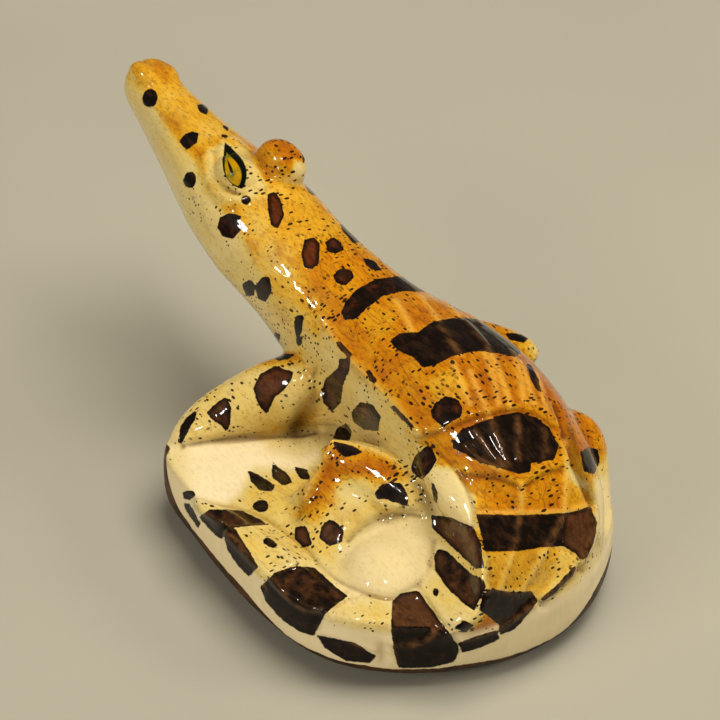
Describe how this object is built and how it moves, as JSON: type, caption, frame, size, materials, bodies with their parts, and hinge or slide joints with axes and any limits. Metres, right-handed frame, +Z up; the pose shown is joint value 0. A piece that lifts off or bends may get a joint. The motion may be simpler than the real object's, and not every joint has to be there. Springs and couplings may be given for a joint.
{
  "type": "crocodile figurine",
  "caption": "Small glossy crocodile carved from a nut, long snout held out over its own nut base, tail curled along the rim",
  "frame": {"origin": "middle of the flat spot underneath that the carving stands on, at floor height", "axes": "+X runs from the rump to the snout, +Y is the crocodile's left (the side the tail curls to), +Z is up"},
  "size_m": [0.0647, 0.0363, 0.0246],
  "materials": {
    "lacquered_nut": "hard nut stained amber and yellow with dark brown patches and fine black flecks, under a glossy clear lacquer; natural brown skin underneath"
  },
  "bodies": {
    "root": {"crocodile_carving": "lacquered_nut"}
  },
  "joints": []
}
